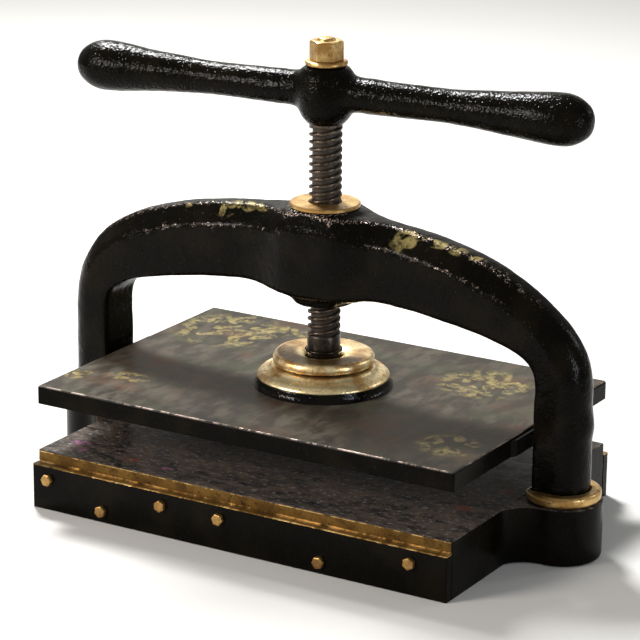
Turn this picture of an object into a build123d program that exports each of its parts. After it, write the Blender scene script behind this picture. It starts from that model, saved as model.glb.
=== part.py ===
# Antique bench screw press: a cast-iron bed, a cast arch, and a flat platen that a
# two-start square-thread screw lowers on to the bed, turned by a two-arm handle.
#
# Millimetres. +X runs along the long side and the arch, +Y from front to back, +Z up.
# The origin is on the floor, on the axis of the screw.

from build123d import *
import math
import os

# ---------------------------------------------------------------- driving dimensions

# bed
BED_LENGTH = 400.0
BED_DEPTH = 273.0
BED_HEIGHT = 49.5
BED_TOP = 14.0            # thickness of the flat top over the hollow underside
BED_WALL = 11.0
BED_CORNER = 2.5          # rounding of the four upright corners
BED_EDGE = 1.0            # rounding of the top edge, ears and all
BAY_CORNER = 12.0         # rounding inside the two bays of the underside
STUD_WALL = 22.0          # solid iron between a bay and its ear, beyond BED_WALL
LUG_RADIUS = 33.0         # round ears that carry the arch
LUG_TOP = 49.0            # they stop a little short of the planed top of the bed
LUG_BLEND = 27.0          # hollow curve between an ear and the side of the bed
STUD_POCKET = 18.0        # radius of the pocket for the nut under each ear
STUD_POCKET_DEPTH = 22.0
LUG_UNDERCUT = 4.0        # rounding of the lower edge of each ear

# straps bolted along the front and the rear
STRAP_THICKNESS = 8.0
STRAP_HEIGHT = 39.2
STRAP_EDGE = 0.8
# along the strap and above the floor, unevenly spaced as the maker drilled them
STRAP_BOLTS = [
    (-184.0, 27.5),
    (-129.0, 10.5),
    (-69.0, 27.5),
    (-12.0, 27.5),
    (84.0, 10.5),
    (167.0, 27.5),
]
STRAP_BOLT_RADIUS = 3.0
STRAP_BOLT_FLATS = 9.6
STRAP_BOLT_HEAD = 4.2
STRAP_BOLT_EDGE = 0.7     # chamfer of the heads
STRAP_BOLT_TURN = 17.0    # degrees that each head is turned further than the one before
STRAP_BOLT_REACH = 6.5    # how far a bolt enters the wall of the bed

# arch
LEG_X = 228.3             # screw axis to the centre of a leg
ARCH_HALF_DEPTH = 22.5
LEG_TOP = 100.0           # the legs are straight and of one section below this height
LEG_INNER = 20.0          # leg centre to its flat inner face
SHOULDER_SKEW = 4.5       # the left shoulder stands higher than the right one by twice this
INNER_EDGE = 3.5          # rounding of the inner edges of the arch
CROWN_RIDGE = 6.0         # rounding of the two bevel ridges at the crown
LEG_RIDGE = 22.0          # the same where the section has grown into a round leg
CROWN_BEVEL = 17.0        # height of the bevels at the crown
LEG_BEVEL = 13.2          # and at the legs
BOSS_HALF_DEPTH = 32.5    # the crown swells to this half depth at the screw
BOSS_HALF_FLAT = 28.5     # half width of the flat on top of it there
BOSS_SPREAD = 42.0        # how far from the screw the swelling has mostly died out
BOSS_TOP = 262.5
PAD_FOOT_RADIUS = 37.5    # round pad on the boss, under the flange of the screw nut
PAD_HEAD_RADIUS = 30.6
PAD_HEIGHT = 4.5
HUB_RADIUS = 26.0
HUB_BOTTOM = 178.5
HUB_ROOT_RADIUS = 58.0    # the hollow curve round the hub dies out here
HUB_ROOT_TOP = 192.5
SET_SCREW_Z = 222.0
SET_SCREW_RADIUS = 2.5

# foot collars and leg studs
COLLAR_RADIUS = 31.5
COLLAR_HEIGHT = 10.0
COLLAR_EDGE = 3.6
COLLAR_INNER = 24.0       # leg centre to the flat on the collar that lets the platen pass
STUD_RADIUS = 8.0
STUD_IN_LEG = 42.0
STUD_NUT_FLATS = 24.0
STUD_NUT_HEIGHT = 13.0
STUD_WASHER_RADIUS = 16.5
STUD_WASHER_THICKNESS = 3.0

# screw and its bronze nut
SCREW_RADIUS = 14.0
SCREW_ROOT = 11.2
SCREW_STARTS = 2
SCREW_PITCH = 6.35        # ridge to ridge
SCREW_LEAD = SCREW_STARTS * SCREW_PITCH
RIDGE_WIDTH = 3.0
THREAD_LOW = 150.0
THREAD_HIGH = 331.0
THREAD_GAP = 0.3          # clearance of the internal thread on every side
BUSH_RADIUS = 20.5
BUSH_BOTTOM = 182.0
BUSH_THREAD_LOW = 190.0   # the bush is bored plain below this height
BUSH_FLANGE_RADIUS = 29.7
BUSH_FLANGE = 3.0

# platen
PLATEN_LENGTH = 400.0
PLATEN_DEPTH = 272.0
PLATEN_THICKNESS = 16.0
PLATEN_TOP = 106.4
PLATEN_EDGE = 2.2         # rounding of the top edges
GUIDE_LENGTH = 70.0
GUIDE_PROUD = 3.0
SEAT_RADIUS = 55.5        # raised round seat in the middle of the platen
SEAT_TOP = 115.4
POCKET_RADIUS = 27.0      # pocket for the foot of the screw
POCKET_FLOOR = 104.4

# thrust pad, retainer and collar round the foot of the screw
PAD_RADIUS = 26.6
PAD_TOP = 108.2
FOOT_RADIUS = 24.0
FOOT_LOW = 108.5
FOOT_HIGH = 115.1
FLANGE_RADIUS = 54.5
FLANGE_TOP = 124.8
CAP_RADIUS = 44.2
CAP_TOP = 135.5
RUNNING_GAP = 0.08
RETAINER_CIRCLE = 35.0    # radius of the circle of retainer screws
RETAINER_SCREW_RADIUS = 3.0
RETAINER_HEAD_RADIUS = 6.0
RETAINER_SCREW_TOP = 130.0
WIPER_RADIUS = 16.2       # turned bead on the screw, just above the cap
WIPER_THICKNESS = 2.6

# handle and what holds it on the screw
HANDLE_Z = 358.7
HANDLE_TURN = 4.1         # degrees that the handle is turned from the X axis at rest
HANDLE_HALF = 236.0
BULB_RADIUS = 21.9
BULB_AT = 209.0
GRIP_RADIUS = 14.4
HANDLE_BOSS_LOW = 332.0
HANDLE_BOSS_HIGH = 381.0
SQUARE = 17.0             # across the flats of the squared end of the screw
SQUARE_TOP = 379.5
STUD_TOP_RADIUS = 7.5
SCREW_TOP = 404.0
WASHER_RADIUS = 17.8
WASHER_THICKNESS = 4.0
NUT_FLATS = 24.8
NUT_TOP = 401.8
NUT_TURN = 26.0           # degrees from the X axis to one corner of the nut

FIT = 0.1                 # radial gap round shanks and spigots that are bolted tight


# ---------------------------------------------------------------- helpers

def cylinder(radius, low, high, x=0.0, y=0.0):
    """Upright cylinder between two heights."""
    shape = Cylinder(radius, high - low, align=(Align.CENTER, Align.CENTER, Align.MIN))
    return Pos(x, y, low) * shape


def turned(points):
    """Solid of revolution about the Z axis, from (radius, height) points joined by straight lines."""
    outline = Polyline([(r, 0.0, z) for r, z in points], close=True)
    return revolve(make_face(outline), Axis.Z)


def hexagon(flats, low, high, turn=0.0, x=0.0, y=0.0):
    """Upright hexagonal prism. At turn 0 one corner points along +X."""
    sketch = RegularPolygon(flats / 2, 6, major_radius=False)
    return Pos(x, y, low) * Rot(0, 0, turn) * extrude(sketch, high - low)


def dressed_nut(flats, low, high, bore, turn=0.0, both=False):
    """Hexagon nut with its corners turned off in a cone at the top, or at both ends."""
    corner = flats / math.sqrt(3)
    slope = (corner - flats / 2) * 0.8
    inner = flats / 2 - 0.6
    bottom = [(0, low), (corner + 0.3, low)]
    if both:
        bottom = [(0, low), (inner, low), (corner + 0.3, low + slope)]
    cone = turned(bottom + [(corner + 0.3, high - slope), (inner, high), (0, high)])
    return (hexagon(flats, low, high, turn) & cone) - cylinder(bore, low - 1, high + 1)


def eared_plan(half, radius, centre, blend):
    """Plan of a round ear that runs into a straight side x = half with hollow curves."""
    # centre of the hollow curve: tangent to the side and to the ear
    bx = half + blend
    by = math.sqrt((radius + blend) ** 2 - (centre - bx) ** 2)
    share = radius / (radius + blend)
    touch = (centre + (bx - centre) * share, by * share)
    mid = math.atan2(touch[1] - by, touch[0] - bx)
    halfway = (math.pi + mid % (2 * math.pi)) / 2
    hollow = (bx + blend * math.cos(halfway), by + blend * math.sin(halfway))
    side = Line((half, -by), (half, by))
    upper = ThreePointArc((half, by), hollow, touch)
    ear = ThreePointArc(touch, (centre + radius, 0), (touch[0], -touch[1]))
    lower = ThreePointArc((touch[0], -touch[1]), (hollow[0], -hollow[1]), (half, -by))
    return make_face([side, upper, ear, lower])


def mirrored(shape):
    """The shape and its mirror image on the other side of the YZ plane."""
    return [shape, mirror(shape, Plane.YZ)]


def square_thread(root, outer, width, low, high):
    """Square-thread rod: its cross-section, twisted one turn in each lead as it rises.

    The twist is counted from THREAD_LOW, so the screw and its nut are in step.
    """
    edges = []
    half = math.pi * width / SCREW_LEAD

    def place(radius, angle):
        return radius * math.cos(angle), radius * math.sin(angle)

    for start in range(SCREW_STARTS):
        ridge = 2 * math.pi * start / SCREW_STARTS
        groove = ridge + math.pi / SCREW_STARTS
        end = ridge + 2 * math.pi / SCREW_STARTS - half
        crest = [place(outer, ridge + angle) for angle in (-half, 0, half)]
        edges.append(Line(place(root, ridge - half), crest[0]))
        edges.append(ThreePointArc(*crest))
        edges.append(Line(crest[-1], place(root, ridge + half)))
        edges.append(ThreePointArc(place(root, ridge + half), place(root, groove), place(root, end)))
    section = make_face(edges).face()
    rise = high - low
    rod = Solid.extrude_linear_with_rotation(section, (0, 0, 0), (0, 0, rise), 360 * rise / SCREW_LEAD)
    return Pos(0, 0, low) * Rot(0, 0, 360 * (low - THREAD_LOW) / SCREW_LEAD) * rod


def write(name, shape):
    """Write one sub-part and say how many solids it holds."""
    solids = shape.solids() if hasattr(shape, "solids") else shape
    whole = solids[0] if len(solids) == 1 else Compound(list(solids))
    whole.label = name
    export_step(whole, f"parts/{name}.step")
    print(f"{name:24s} {len(solids)} solid(s) {whole.volume / 1000:9.1f} cm3")


# ---------------------------------------------------------------- bed

def bed_casting():
    """Flat-topped bed, hollow below in two bays, with a round ear on each short side."""
    plan = RectangleRounded(BED_LENGTH, BED_DEPTH, BED_CORNER)
    body = extrude(plan, BED_HEIGHT)
    ear = extrude(eared_plan(BED_LENGTH / 2, LUG_RADIUS, LEG_X, LUG_BLEND), LUG_TOP)
    rims = ear.edges().filter_by(GeomType.CIRCLE).group_by(Axis.Z)
    ear = fillet(rims[0].sort_by(Axis.X)[-1], LUG_UNDERCUT)
    rims = ear.edges().filter_by(GeomType.CIRCLE).group_by(Axis.Z)
    ear = fillet(rims[-1], BED_EDGE)
    body = fillet(body.faces().sort_by(Axis.Z)[-1].edges(), BED_EDGE)
    body = body + mirrored(ear)

    bay_length = BED_LENGTH / 2 - BED_WALL - STUD_WALL - BED_WALL / 2
    bay_centre = BED_WALL / 2 + bay_length / 2
    bay = RectangleRounded(bay_length, BED_DEPTH - 2 * BED_WALL, BAY_CORNER)
    for side in (-1, 1):
        body -= Pos(side * bay_centre, 0, -1) * extrude(bay, BED_HEIGHT - BED_TOP + 1)
        body -= cylinder(STUD_RADIUS + FIT, -1, BED_HEIGHT + 1, side * LEG_X)
        body -= cylinder(STUD_POCKET, -1, STUD_POCKET_DEPTH, side * LEG_X)
    for x, z in STRAP_BOLTS:
        for side in (-1, 1):
            wall = side * BED_DEPTH / 2
            hole = Cylinder(STRAP_BOLT_RADIUS + FIT, 2 * (STRAP_BOLT_REACH + 1))
            body -= Pos(-side * x, wall, z) * Rot(90, 0, 0) * hole
    return body


def strap(side):
    """Flat iron strap bolted along one long side. side is -1 at the front and 1 at the rear."""
    middle = side * (BED_DEPTH / 2 + STRAP_THICKNESS / 2)
    bar = Pos(0, middle, STRAP_HEIGHT / 2) * Box(BED_LENGTH, STRAP_THICKNESS, STRAP_HEIGHT)
    outer = bar.faces().sort_by(Axis.Y)[0 if side < 0 else -1]
    bar = chamfer(outer.edges(), STRAP_EDGE)
    for x, z in STRAP_BOLTS:
        hole = Cylinder(STRAP_BOLT_RADIUS + FIT, 3 * STRAP_THICKNESS)
        bar -= Pos(-side * x, middle, z) * Rot(90, 0, 0) * hole
    return bar


def strap_bolts(side):
    """Six small hexagon-headed bolts through one strap."""
    worn = cylinder(STRAP_BOLT_FLATS * 0.56, 0, STRAP_BOLT_HEAD)    # the six corners are rubbed down
    head = hexagon(STRAP_BOLT_FLATS, 0, STRAP_BOLT_HEAD) & worn
    head = chamfer(head.faces().sort_by(Axis.Z)[-1].edges(), STRAP_BOLT_EDGE)
    bolt = head + cylinder(STRAP_BOLT_RADIUS, -STRAP_THICKNESS - STRAP_BOLT_REACH, 0)
    face = side * (BED_DEPTH / 2 + STRAP_THICKNESS)
    bolts = []
    for number, (x, z) in enumerate(STRAP_BOLTS):
        turn = STRAP_BOLT_TURN * number
        bolts.append(Pos(-side * x, face, z) * Rot(-side * 90, 0, 0) * Rot(0, 0, turn) * bolt)
    return bolts


# ---------------------------------------------------------------- arch

# One rib of the arch: (outer x, outer z), (inner x, inner z), ridge radius, share of the shoulder skew.
ARCH_RIBS = [
    ((24.0, 260.4), (24.0, 187.5), 5.5, 0.0),
    ((42.0, 258.2), (41.0, 189.5), 5.5, 0.0),
    ((63.0, 257.0), (58.0, 191.3), 6.0, 0.0),
    ((100.0, 252.6), (90.0, 190.0), 6.0, 0.1),
    ((140.0, 244.6), (124.0, 185.5), 7.0, 0.3),
    ((175.0, 233.0), (154.0, 180.3), 9.0, 0.6),
    ((204.0, 218.0), (180.0, 174.0), 12.0, 1.0),
    ((228.0, 198.5), (195.5, 167.5), 16.0, 1.0),
    ((243.5, 175.0), (204.5, 159.5), 19.0, 0.6),
    ((249.8, 150.0), (LEG_X - LEG_INNER, 148.0), 21.0, 0.1),
    ((LEG_X + ARCH_HALF_DEPTH, 125.0), (LEG_X - LEG_INNER, 125.0), 21.5, 0.0),
    ((LEG_X + ARCH_HALF_DEPTH, LEG_TOP), (LEG_X - LEG_INNER, LEG_TOP), 21.5, 0.0),
]
CROWN_RIB = ((0.0, 262.3), (0.0, 187.0), 5.5, 0.0)


def rib_face(rib, side):
    """Cross-section of the arch at one rib: flat front and back, bevelled towards the outer face."""
    (ox, oz), (ix, iz), ridge, share = rib
    oz -= side * share * SHOULDER_SKEW
    outward = Vector(side * (ox - ix), 0, oz - iz)
    height = outward.length
    plane = Plane(origin=(side * ix, 0, iz), x_dir=(0, 1, 0), z_dir=Vector(0, 1, 0).cross(outward))
    swell = math.exp(-(ox / BOSS_SPREAD) ** 4)
    half = ARCH_HALF_DEPTH + (BOSS_HALF_DEPTH - ARCH_HALF_DEPTH) * swell
    flat = ARCH_HALF_DEPTH * math.tan(math.radians(22.5))
    top = flat + (BOSS_HALF_FLAT - flat) * swell
    share_of_leg = (ridge - CROWN_RIDGE) / (LEG_RIDGE - CROWN_RIDGE)
    drop = CROWN_BEVEL + (LEG_BEVEL - CROWN_BEVEL) * share_of_leg
    outline = [
        (-half, 0),
        (half, 0),
        (half, height - drop),
        (top, height),
        (-top, height),
        (-half, height - drop),
    ]
    face = make_face(Polyline(outline, close=True))
    corners = face.vertices().group_by(Axis.Y)
    face = fillet(corners[0], INNER_EDGE)
    upper = [v for v in face.vertices() if v.Y > height - drop - 0.01]
    face = fillet(upper, ridge)
    return plane * face


def leg_prism(side, low, high, gap=0.0):
    """Straight length of one leg: half round outside, flat towards the platen."""
    foot = rib_face(ARCH_RIBS[-1], side)
    if gap:
        foot = offset(foot, gap)
    prism = extrude(foot, high - low, dir=(0, 0, 1))
    return Pos(0, 0, low - LEG_TOP) * prism


def across_boss(radius, length):
    """Round bar that starts at the bore of the boss and runs out through the back."""
    bar = Cylinder(radius, length, align=(Align.CENTER, Align.CENTER, Align.MIN))
    return Pos(0, BUSH_RADIUS + FIT, SET_SCREW_Z) * Rot(-90, 0, 0) * bar


def arch_frame():
    """The cast arch: two legs and a crown, with an upright boss for the screw nut."""
    left = [rib_face(rib, -1) for rib in reversed(ARCH_RIBS)]
    right = [rib_face(rib, 1) for rib in ARCH_RIBS]
    arch = loft(left + [rib_face(CROWN_RIB, 1)] + right)
    for sign in (-1, 1):
        arch += leg_prism(sign, LUG_TOP, LEG_TOP)

    # round pad for the flange of the screw nut, which runs out into the swelling of the crown
    pad = turned([
        (0, BOSS_TOP - 5 * PAD_HEIGHT),
        (PAD_FOOT_RADIUS, BOSS_TOP - 5 * PAD_HEIGHT),
        (PAD_FOOT_RADIUS, BOSS_TOP - PAD_HEIGHT),
        (PAD_HEAD_RADIUS + 2.6, BOSS_TOP - 0.4 * PAD_HEIGHT),
        (PAD_HEAD_RADIUS, BOSS_TOP),
        (0, BOSS_TOP),
    ])
    pad_side = Pos(0, 0, BOSS_TOP) * Box(3 * PAD_FOOT_RADIUS, 2 * PAD_HEAD_RADIUS, 12 * PAD_HEIGHT)
    root = turned([
        (0, HUB_BOTTOM),
        (HUB_RADIUS, HUB_BOTTOM),
        (HUB_RADIUS + 1.5, HUB_BOTTOM + 4.5),
        ((HUB_RADIUS + HUB_ROOT_RADIUS) / 2 + 3, HUB_BOTTOM + 9.5),
        (HUB_ROOT_RADIUS, HUB_ROOT_TOP),
        (0, HUB_ROOT_TOP + 3.5),
    ])
    root_side = Pos(0, 0, HUB_ROOT_TOP) * Box(3 * HUB_ROOT_RADIUS, 2 * ARCH_HALF_DEPTH, HUB_ROOT_RADIUS)
    hub = cylinder(HUB_RADIUS, HUB_BOTTOM, HUB_ROOT_TOP + 7.5)
    arch = arch + (pad & pad_side) + (root & root_side) + hub

    arch -= cylinder(BUSH_RADIUS + FIT, HUB_BOTTOM - 1, BOSS_TOP + 1)
    for sign in (-1, 1):
        arch -= cylinder(STUD_RADIUS + FIT, LUG_TOP - 1, BED_HEIGHT + STUD_IN_LEG + 2, sign * LEG_X)
    return arch - across_boss(SET_SCREW_RADIUS + FIT, 40)


def foot_collar(side):
    """Rounded ring round the foot of one leg."""
    top = LUG_TOP + COLLAR_HEIGHT
    ring = cylinder(COLLAR_RADIUS, LUG_TOP, top, side * LEG_X)
    width = COLLAR_RADIUS + COLLAR_INNER
    middle = side * (LEG_X + (COLLAR_RADIUS - COLLAR_INNER) / 2)
    ring = ring & Pos(middle, 0, (LUG_TOP + top) / 2) * Box(width, 3 * COLLAR_RADIUS, COLLAR_HEIGHT)
    rims = ring.edges().group_by(Axis.Z)
    ring = fillet(rims[0] + rims[-1], COLLAR_EDGE)
    return ring - leg_prism(side, LUG_TOP - 1, top + 1, FIT)


def leg_stud(side):
    """Plain-shanked stud that holds one leg down on its ear."""
    stud = cylinder(STUD_RADIUS, 3.0, BED_HEIGHT + STUD_IN_LEG, side * LEG_X)
    return chamfer(stud.edges(), 1.2)


def leg_nut(side):
    """Nut on the stud, in the pocket under the ear."""
    top = STUD_POCKET_DEPTH - STUD_WASHER_THICKNESS
    nut = dressed_nut(STUD_NUT_FLATS, top - STUD_NUT_HEIGHT, top, STUD_RADIUS + FIT, both=True)
    return Pos(side * LEG_X, 0, 0) * nut


def leg_washer(side):
    """Washer between that nut and the ear."""
    low = STUD_POCKET_DEPTH - STUD_WASHER_THICKNESS
    ring = cylinder(STUD_WASHER_RADIUS, low, STUD_POCKET_DEPTH, side * LEG_X)
    return ring - cylinder(STUD_RADIUS + FIT, low - 1, STUD_POCKET_DEPTH + 1, side * LEG_X)


# ---------------------------------------------------------------- screw and bush

def press_screw():
    """Two-start screw: threaded length, plain neck, bead, foot disc, squared top and stud."""
    screw = square_thread(SCREW_ROOT, SCREW_RADIUS - 0.03, RIDGE_WIDTH, THREAD_LOW, THREAD_HIGH)
    neck = cylinder(SCREW_RADIUS, FOOT_HIGH - 1, THREAD_LOW)
    bead = fillet(cylinder(WIPER_RADIUS, CAP_TOP + 0.3, CAP_TOP + 0.3 + WIPER_THICKNESS).edges(), 0.9)
    foot = chamfer(cylinder(FOOT_RADIUS, FOOT_LOW, FOOT_HIGH).edges(), 0.8)
    collar = cylinder(SCREW_RADIUS, THREAD_HIGH, HANDLE_BOSS_LOW)
    squared = cylinder(SQUARE, HANDLE_BOSS_LOW, SQUARE_TOP) & Box(SQUARE, SQUARE, 2 * SQUARE_TOP)
    stud = cylinder(STUD_TOP_RADIUS, SQUARE_TOP, SCREW_TOP)
    stud = chamfer(stud.edges().group_by(Axis.Z)[-1], 1.6)
    return screw + neck + bead + foot + collar + Rot(0, 0, HANDLE_TURN) * squared + stud


def screw_bush():
    """Flanged bronze nut that drops into the boss of the arch, threaded to suit the screw."""
    top = BOSS_TOP + BUSH_FLANGE
    flange = cylinder(BUSH_FLANGE_RADIUS, BOSS_TOP, top)
    flange = chamfer(flange.edges().group_by(Axis.Z)[-1], 0.9)
    bush = flange + cylinder(BUSH_RADIUS, BUSH_BOTTOM, BOSS_TOP)
    bush -= cylinder(SCREW_RADIUS + 1.0, BUSH_BOTTOM - 1, BUSH_THREAD_LOW)
    root = SCREW_ROOT + THREAD_GAP
    crest = SCREW_RADIUS + THREAD_GAP
    return bush - square_thread(root, crest, RIDGE_WIDTH + 2 * THREAD_GAP, BUSH_THREAD_LOW - 3, top + 3)


def bush_set_screw():
    """Headless screw in the back of the boss that stops the bush from turning."""
    return across_boss(SET_SCREW_RADIUS, BOSS_HALF_DEPTH + 0.5 - BUSH_RADIUS - FIT)


# ---------------------------------------------------------------- platen

def guide_plan(side):
    """Plan of the low guide pad on one short side, with tapered ends."""
    x = side * (PLATEN_LENGTH / 2 - 1)
    proud = side * (PLATEN_LENGTH / 2 + GUIDE_PROUD)
    half = GUIDE_LENGTH / 2
    return make_face(Polyline([(x, -half - 7), (proud, -half), (proud, half), (x, half + 7)], close=True))


def countersink(low, low_radius, high, high_radius):
    """Upright cone, wide at the bottom: a screw head put in from below, or its seat."""
    return turned([(0, low), (low_radius, low), (high_radius, high), (0, high)])


def retainer_places():
    """Places of the retainer screws round the axis."""
    return [Rot(0, 0, 45 + 90 * number) * Pos(RETAINER_CIRCLE, 0, 0) for number in range(4)]


def platen():
    """Flat pressing plate with a raised seat for the foot of the screw."""
    low = PLATEN_TOP - PLATEN_THICKNESS
    plate = Pos(0, 0, low) * extrude(RectangleRounded(PLATEN_LENGTH, PLATEN_DEPTH, 2.0), PLATEN_THICKNESS)
    plate = fillet(plate.edges().group_by(Axis.Z)[-1], PLATEN_EDGE)
    for side in (-1, 1):
        plate += Pos(0, 0, low) * extrude(guide_plan(side), PLATEN_THICKNESS - PLATEN_EDGE)
    plate += turned([
        (0, PLATEN_TOP - 2),
        (SEAT_RADIUS + 4, PLATEN_TOP - 2),
        (SEAT_RADIUS + 3.2, PLATEN_TOP),
        (SEAT_RADIUS + 0.8, PLATEN_TOP + 3),
        (SEAT_RADIUS, PLATEN_TOP + 6.5),
        (SEAT_RADIUS - 1.4, SEAT_TOP),
        (0, SEAT_TOP),
    ])
    plate -= cylinder(POCKET_RADIUS, POCKET_FLOOR, SEAT_TOP + 1)
    hole_radius = RETAINER_SCREW_RADIUS + FIT
    for place in retainer_places():
        plate -= place * cylinder(hole_radius, low - 1, SEAT_TOP + 1)
        plate -= place * countersink(low - 1, RETAINER_HEAD_RADIUS + 1.1, low + 3.1, hole_radius)
    return plate


def retainer_screws():
    """Four countersunk screws, put in from under the platen, that hold the flange and the cap."""
    low = PLATEN_TOP - PLATEN_THICKNESS
    head = countersink(low + 0.3, RETAINER_HEAD_RADIUS - 0.5, low + 2.9, RETAINER_SCREW_RADIUS)
    screw = head + cylinder(RETAINER_SCREW_RADIUS, low + 2, RETAINER_SCREW_TOP)
    slot = Pos(0, 0, low) * Box(20, 1.4, 3.0)
    return [place * (screw - slot) for place in retainer_places()]


def thrust_pad():
    """Disc that the foot of the screw presses on."""
    return chamfer(cylinder(PAD_RADIUS, POCKET_FLOOR, PAD_TOP).edges(), 0.5)


def retainer_flange():
    """Lower, wider tier of the cap: a ring that swells out to a thin rim."""
    low = SEAT_TOP
    ring = turned([
        (SCREW_RADIUS + RUNNING_GAP, low),
        (FLANGE_RADIUS - 1.6, low),
        (FLANGE_RADIUS, low + 0.9),
        (FLANGE_RADIUS - 0.7, low + 2.8),
        (FLANGE_RADIUS - 3.0, low + 4.6),
        (FLANGE_RADIUS - 6.2, low + 5.8),
        (FLANGE_RADIUS - 8.4, low + 6.8),
        (FLANGE_RADIUS - 10.0, FLANGE_TOP - 0.9),
        (FLANGE_RADIUS - 11.4, FLANGE_TOP),
        (SCREW_RADIUS + RUNNING_GAP, FLANGE_TOP),
    ])
    for place in retainer_places():
        ring -= place * cylinder(RETAINER_SCREW_RADIUS + FIT, low - 1, FLANGE_TOP + 1)
    return ring


def retainer_cap():
    """Upper tier of the cap: a round-edged ring with a flat top."""
    low = FLANGE_TOP
    ring = turned([
        (SCREW_RADIUS + RUNNING_GAP, low),
        (CAP_RADIUS - 2.4, low),
        (CAP_RADIUS - 0.6, low + 2.0),
        (CAP_RADIUS, low + 4.4),
        (CAP_RADIUS - 0.5, low + 7.0),
        (CAP_RADIUS - 1.9, low + 9.2),
        (CAP_RADIUS - 3.9, CAP_TOP),
        (CAP_RADIUS - 5.6, CAP_TOP - 0.5),
        (SCREW_RADIUS + RUNNING_GAP, CAP_TOP - 0.5),
    ])
    for place in retainer_places():
        ring -= place * cylinder(RETAINER_SCREW_RADIUS + FIT, low - 1, RETAINER_SCREW_TOP + 0.5)
    return ring


# ---------------------------------------------------------------- handle

def handle():
    """Cast two-arm handle: slim grips that swell to round bulbs, on a barrel boss."""
    waist = [
        (0, GRIP_RADIUS + 2.0),
        (45, GRIP_RADIUS + 0.7),
        (85, GRIP_RADIUS),
        (112, GRIP_RADIUS + 0.1),
        (145, GRIP_RADIUS + 2.2),
        (178, BULB_RADIUS - 2.4),
        (BULB_AT, BULB_RADIUS),
    ]
    arm = Spline(waist, tangents=[(1, -0.02), (1, 0)])
    end = [(BULB_AT, BULB_RADIUS), (HANDLE_HALF - 10, BULB_RADIUS - 4.7), (HANDLE_HALF, 0)]
    cap = Spline(end, tangents=[(1, 0), (0, -1)])
    base = Line((HANDLE_HALF, 0), (0, 0))
    start = Line((0, 0), (0, GRIP_RADIUS + 2.0))
    half = revolve(make_face([start, arm, cap, base]), Axis.X)
    arms = half + mirror(half, Plane.YZ)
    body = Rot(0, 0, HANDLE_TURN) * (Pos(0, 0, HANDLE_Z) * arms)

    low, high = HANDLE_BOSS_LOW, HANDLE_BOSS_HIGH
    belly = [
        (17.5, 0, low + 1.0),
        (22.6, 0, low + 8.0),
        (25.2, 0, (low + high) / 2),
        (23.6, 0, high - 7.5),
        (19.4, 0, high - 0.6),
    ]
    rim = Polyline([belly[-1], (18.6, 0, high), (0, 0, high), (0, 0, low), (16.0, 0, low), belly[0]])
    boss = revolve(make_face([Spline(belly), rim]), Axis.Z)
    body = body + boss

    gap = SQUARE + 2 * FIT
    hole = Pos(0, 0, (low + high) / 2) * Box(gap, gap, high - low + 2)
    return body - Rot(0, 0, HANDLE_TURN) * hole


def handle_washer():
    """Round-edged washer under the handle nut."""
    low = HANDLE_BOSS_HIGH
    ring = fillet(cylinder(WASHER_RADIUS, low, low + WASHER_THICKNESS).edges(), 1.6)
    return ring - cylinder(STUD_TOP_RADIUS + FIT, low - 1, low + WASHER_THICKNESS + 1)


def handle_nut():
    """Hexagon nut that holds the handle down on the squared end of the screw."""
    low = HANDLE_BOSS_HIGH + WASHER_THICKNESS
    return dressed_nut(NUT_FLATS, low, NUT_TOP, STUD_TOP_RADIUS + FIT, NUT_TURN)


# ---------------------------------------------------------------- write every sub-part

def main():
    os.makedirs("parts", exist_ok=True)
    write("bed_casting", bed_casting())
    write("front_strap", strap(-1))
    write("rear_strap", strap(1))
    write("front_strap_bolts", Compound(strap_bolts(-1)))
    write("rear_strap_bolts", Compound(strap_bolts(1)))
    write("arch_frame", arch_frame())
    for name, side in (("left", -1), ("right", 1)):
        write(f"{name}_foot_collar", foot_collar(side))
        write(f"{name}_leg_stud", leg_stud(side))
        write(f"{name}_leg_washer", leg_washer(side))
        write(f"{name}_leg_nut", leg_nut(side))
    write("screw_bush", screw_bush())
    write("bush_set_screw", bush_set_screw())

    write("platen", platen())
    write("thrust_pad", thrust_pad())
    write("retainer_flange", retainer_flange())
    write("retainer_cap", retainer_cap())
    write("retainer_screws", Compound(retainer_screws()))

    write("press_screw", press_screw())
    write("handle", handle())
    write("handle_washer", handle_washer())
    write("handle_nut", handle_nut())


main()
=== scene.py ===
# %% [markdown]
# # An old cast-iron screw press, in Blender
#
# The press is a flat bed, a cast arch, a platen that rises and falls, and a two-arm handle on a
# coarse screw. All of it is black japanned iron picked out with gilt. The engineering model is
# loaded first and is never moved. Each step below says what a piece or a finish is on the real
# object, then makes it.

# %% Load the frame
import math

import bmesh
import bpy
from mathutils import Matrix, Vector, noise


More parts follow.
